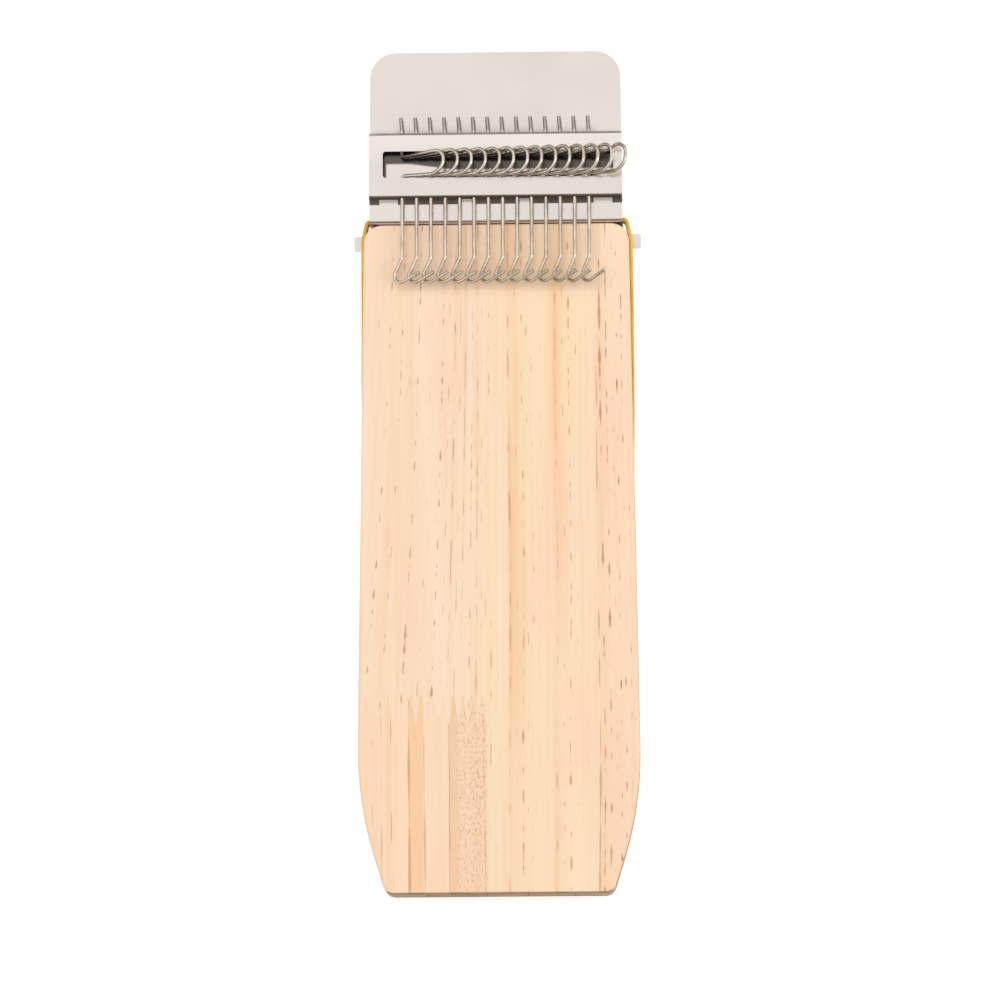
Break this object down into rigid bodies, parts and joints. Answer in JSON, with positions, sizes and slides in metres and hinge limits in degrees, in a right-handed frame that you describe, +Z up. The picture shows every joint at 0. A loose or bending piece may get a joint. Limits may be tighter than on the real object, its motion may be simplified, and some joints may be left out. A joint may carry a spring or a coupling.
{
  "type": "darning loom",
  "caption": "Small darning loom: tapered pine board with a grooved edge, rubber band, bent steel head and a row of turning wire heddle hooks that lift and lower the warp.",
  "frame": {"origin": "middle of the whole loom's length and width, on the board's underside", "axes": "+Y along the board towards the steel handle, +X to the right, +Z up out of the board's working face"},
  "size_m": [0.0772, 0.2266, 0.0224],
  "materials": {
    "pine": "sanded, unvarnished",
    "pine_rough": "sanded, open short grain",
    "amber_rubber": "smooth natural rubber",
    "sheet_steel": "satin rolled sheet",
    "wire_steel": "bright drawn wire"
  },
  "bodies": {
    "loom": {"stave_left_upper": "pine", "stave_left_lower": "pine", "stave_inner_lower": "pine_rough", "stave_middle": "pine", "stave_right": "pine", "rubber_band": "amber_rubber", "base_plate": "sheet_steel", "heddle_bridge": "sheet_steel"},
    "hook_01": {"heddle_hook_01": "wire_steel"},
    "hook_02": {"heddle_hook_02": "wire_steel"},
    "hook_03": {"heddle_hook_03": "wire_steel"},
    "hook_04": {"heddle_hook_04": "wire_steel"},
    "hook_05": {"heddle_hook_05": "wire_steel"},
    "hook_06": {"heddle_hook_06": "wire_steel"},
    "hook_07": {"heddle_hook_07": "wire_steel"},
    "hook_08": {"heddle_hook_08": "wire_steel"},
    "hook_09": {"heddle_hook_09": "wire_steel"},
    "hook_10": {"heddle_hook_10": "wire_steel"},
    "hook_11": {"heddle_hook_11": "wire_steel"},
    "hook_12": {"heddle_hook_12": "wire_steel"},
    "hook_13": {"heddle_hook_13": "wire_steel"},
    "hook_14": {"heddle_hook_14": "wire_steel"}
  },
  "joints": [
    {"name": "hook_01_turn", "type": "hinge", "parent": "loom", "child": "hook_01", "pos_m": [-0.02505, 0.08215, 0.0154], "axis": [0, -1, 0], "range_deg": [0, 128.1]},
    {"name": "hook_02_turn", "type": "hinge", "parent": "loom", "child": "hook_02", "pos_m": [-0.0212, 0.08215, 0.0154], "axis": [0, -1, 0], "range_deg": [0, 128.1]},
    {"name": "hook_03_turn", "type": "hinge", "parent": "loom", "child": "hook_03", "pos_m": [-0.01734, 0.08215, 0.0154], "axis": [0, -1, 0], "range_deg": [0, 128.1]},
    {"name": "hook_04_turn", "type": "hinge", "parent": "loom", "child": "hook_04", "pos_m": [-0.01349, 0.08215, 0.0154], "axis": [0, -1, 0], "range_deg": [0, 128.1]},
    {"name": "hook_05_turn", "type": "hinge", "parent": "loom", "child": "hook_05", "pos_m": [-0.00963, 0.08215, 0.0154], "axis": [0, -1, 0], "range_deg": [0, 128.1]},
    {"name": "hook_06_turn", "type": "hinge", "parent": "loom", "child": "hook_06", "pos_m": [-0.00578, 0.08215, 0.0154], "axis": [0, -1, 0], "range_deg": [0, 128.1]},
    {"name": "hook_07_turn", "type": "hinge", "parent": "loom", "child": "hook_07", "pos_m": [-0.00193, 0.08215, 0.0154], "axis": [0, -1, 0], "range_deg": [0, 128.1]},
    {"name": "hook_08_turn", "type": "hinge", "parent": "loom", "child": "hook_08", "pos_m": [0.00193, 0.08215, 0.0154], "axis": [0, -1, 0], "range_deg": [0, 128.1]},
    {"name": "hook_09_turn", "type": "hinge", "parent": "loom", "child": "hook_09", "pos_m": [0.00578, 0.08215, 0.0154], "axis": [0, -1, 0], "range_deg": [0, 128.1]},
    {"name": "hook_10_turn", "type": "hinge", "parent": "loom", "child": "hook_10", "pos_m": [0.00963, 0.08215, 0.0154], "axis": [0, -1, 0], "range_deg": [0, 128.1]},
    {"name": "hook_11_turn", "type": "hinge", "parent": "loom", "child": "hook_11", "pos_m": [0.01349, 0.08215, 0.0154], "axis": [0, -1, 0], "range_deg": [0, 128.1]},
    {"name": "hook_12_turn", "type": "hinge", "parent": "loom", "child": "hook_12", "pos_m": [0.01734, 0.08215, 0.0154], "axis": [0, -1, 0], "range_deg": [0, 128.1]},
    {"name": "hook_13_turn", "type": "hinge", "parent": "loom", "child": "hook_13", "pos_m": [0.0212, 0.08215, 0.0154], "axis": [0, -1, 0], "range_deg": [0, 128.1]},
    {"name": "hook_14_turn", "type": "hinge", "parent": "loom", "child": "hook_14", "pos_m": [0.02505, 0.08215, 0.0154], "axis": [0, -1, 0], "range_deg": [0, 128.1]}
  ],
  "couplings": [
    {"joint": "hook_02_turn", "follows": "hook_01_turn", "ratio": 1},
    {"joint": "hook_03_turn", "follows": "hook_01_turn", "ratio": 1},
    {"joint": "hook_04_turn", "follows": "hook_01_turn", "ratio": 1},
    {"joint": "hook_05_turn", "follows": "hook_01_turn", "ratio": 1},
    {"joint": "hook_06_turn", "follows": "hook_01_turn", "ratio": 1},
    {"joint": "hook_07_turn", "follows": "hook_01_turn", "ratio": 1},
    {"joint": "hook_08_turn", "follows": "hook_01_turn", "ratio": 1},
    {"joint": "hook_09_turn", "follows": "hook_01_turn", "ratio": 1},
    {"joint": "hook_10_turn", "follows": "hook_01_turn", "ratio": 1},
    {"joint": "hook_11_turn", "follows": "hook_01_turn", "ratio": 1},
    {"joint": "hook_12_turn", "follows": "hook_01_turn", "ratio": 1},
    {"joint": "hook_13_turn", "follows": "hook_01_turn", "ratio": 1},
    {"joint": "hook_14_turn", "follows": "hook_01_turn", "ratio": 1}
  ]
}
